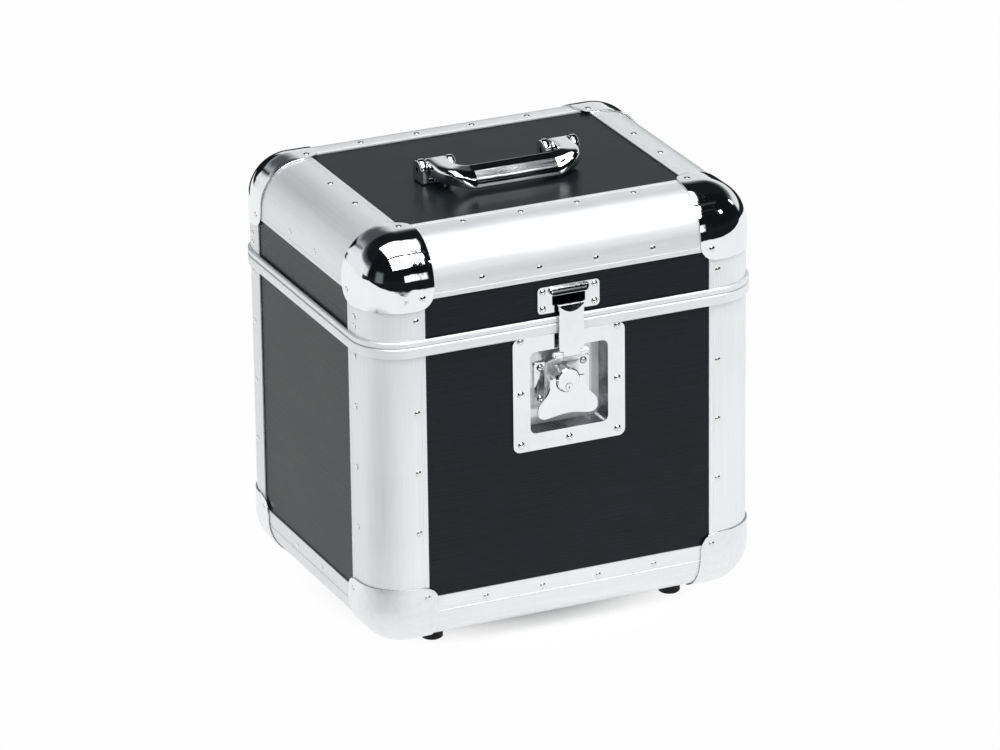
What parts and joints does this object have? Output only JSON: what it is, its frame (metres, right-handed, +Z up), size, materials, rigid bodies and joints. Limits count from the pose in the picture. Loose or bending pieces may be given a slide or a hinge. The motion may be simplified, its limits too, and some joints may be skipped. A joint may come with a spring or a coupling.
{
  "type": "record carrying case",
  "caption": "Box case with rounded aluminium edges, corner caps, a hinged lid with a folding handle, and a recessed rotary latch, for carrying records.",
  "frame": {"origin": "on the floor, below the middle of the whole case, with the feet's undersides at Z = 0", "axes": "+Z up, -Y towards the latch side, +X to the right when the latch is faced"},
  "size_m": [0.365, 0.307, 0.3917],
  "materials": {
    "laminate_panel": "satin black laminate with a fine level brushed grain on plywood",
    "brushed_aluminium": "brushed along its length",
    "satin_cap": "polished pressed steel cap",
    "chrome_cap": "mirror chrome on pressed steel",
    "chrome_fitting": "mirror chrome",
    "nickel_latch": "bright nickel-plated sheet steel",
    "zinc_hinge": "bright zinc-plated sheet steel",
    "rubber_foot": "matt black"
  },
  "bodies": {
    "base": {"base_front_panel": "laminate_panel", "base_back_panel": "laminate_panel", "base_left_panel": "laminate_panel", "base_right_panel": "laminate_panel", "base_bottom_panel": "laminate_panel", "base_closure_band": "brushed_aluminium", "latch_dish": "nickel_latch", "latch_base_plate": "nickel_latch", "base_post_front_left": "brushed_aluminium", "base_post_front_right": "brushed_aluminium", "base_post_back_left": "brushed_aluminium", "base_post_back_right": "brushed_aluminium", "base_cap_front_left": "satin_cap", "base_cap_front_right": "satin_cap", "base_cap_back_left": "satin_cap", "base_cap_back_right": "satin_cap", "foot_front_left": "rubber_foot", "foot_front_right": "rubber_foot", "foot_back_left": "rubber_foot", "foot_back_right": "rubber_foot", "base_bottom_rail_front": "brushed_aluminium", "base_bottom_rail_back": "brushed_aluminium", "base_bottom_rail_left": "brushed_aluminium", "base_bottom_rail_right": "brushed_aluminium", "hinge_left_base_leaf": "zinc_hinge", "hinge_right_base_leaf": "zinc_hinge", "hinge_left_pin": "zinc_hinge", "hinge_right_pin": "zinc_hinge"},
    "lid": {"lid_front_panel": "laminate_panel", "lid_back_panel": "laminate_panel", "lid_left_panel": "laminate_panel", "lid_right_panel": "laminate_panel", "lid_top_panel": "laminate_panel", "lid_closure_band": "brushed_aluminium", "keeper_plate": "nickel_latch", "lid_post_front_left": "brushed_aluminium", "lid_post_front_right": "brushed_aluminium", "lid_post_back_left": "brushed_aluminium", "lid_post_back_right": "brushed_aluminium", "lid_cap_front_left": "chrome_cap", "lid_cap_front_right": "chrome_cap", "lid_cap_back_left": "chrome_cap", "lid_cap_back_right": "chrome_cap", "lid_top_rail_front": "brushed_aluminium", "lid_top_rail_back": "brushed_aluminium", "lid_top_rail_left": "brushed_aluminium", "lid_top_rail_right": "brushed_aluminium", "hinge_left_lid_leaf": "zinc_hinge", "hinge_right_lid_leaf": "zinc_hinge", "handle_bracket_left": "chrome_fitting", "handle_bracket_right": "chrome_fitting", "handle_pin_left": "chrome_fitting", "handle_pin_right": "chrome_fitting"},
    "handle": {"handle": "chrome_fitting"},
    "carriage": {"latch_carriage": "nickel_latch", "latch_hook_pin": "nickel_latch"},
    "rotor": {"latch_rotor": "chrome_fitting"},
    "key_plug": {"latch_key_plug": "nickel_latch"},
    "flap": {"latch_thumb_flap": "chrome_fitting"},
    "hook": {"latch_hook_arm": "nickel_latch"}
  },
  "joints": [
    {"name": "lid_hinge", "type": "hinge", "parent": "base", "child": "lid", "pos_m": [0, 0.15035, 0.2837], "axis": [-1, 0, 0], "range_deg": [0, 100]},
    {"name": "handle_pivot", "type": "hinge", "parent": "lid", "child": "handle", "pos_m": [0, -0.0043, 0.3825], "axis": [-1, 0, 0], "range_deg": [0, 90]},
    {"name": "latch_turn", "type": "hinge", "parent": "base", "child": "rotor", "pos_m": [0, -0.14695, 0.2295], "axis": [0, 1, 0], "range_deg": [0, 90]},
    {"name": "latch_lift", "type": "slide", "parent": "base", "child": "carriage", "axis": [0, 0, 1], "range_m": [0, 0.007]},
    {"name": "flap_fold", "type": "hinge", "parent": "rotor", "child": "flap", "pos_m": [0, -0.14335, 0.2295], "axis": [-1, 0, 0], "range_deg": [0, 90]},
    {"name": "hook_swing", "type": "hinge", "parent": "carriage", "child": "hook", "pos_m": [0, -0.15055, 0.2555], "axis": [1, 0, 0], "range_deg": [0, 85]},
    {"name": "key_turn", "type": "hinge", "parent": "rotor", "child": "key_plug", "pos_m": [0, -0.14695, 0.2239], "axis": [0, 1, 0], "range_deg": [0, 90]}
  ],
  "couplings": [
    {"joint": "latch_lift", "follows": "latch_turn", "m_per_rad": 0.0044563},
    {"joint": "flap_fold", "follows": "latch_turn", "ratio": 1}
  ]
}
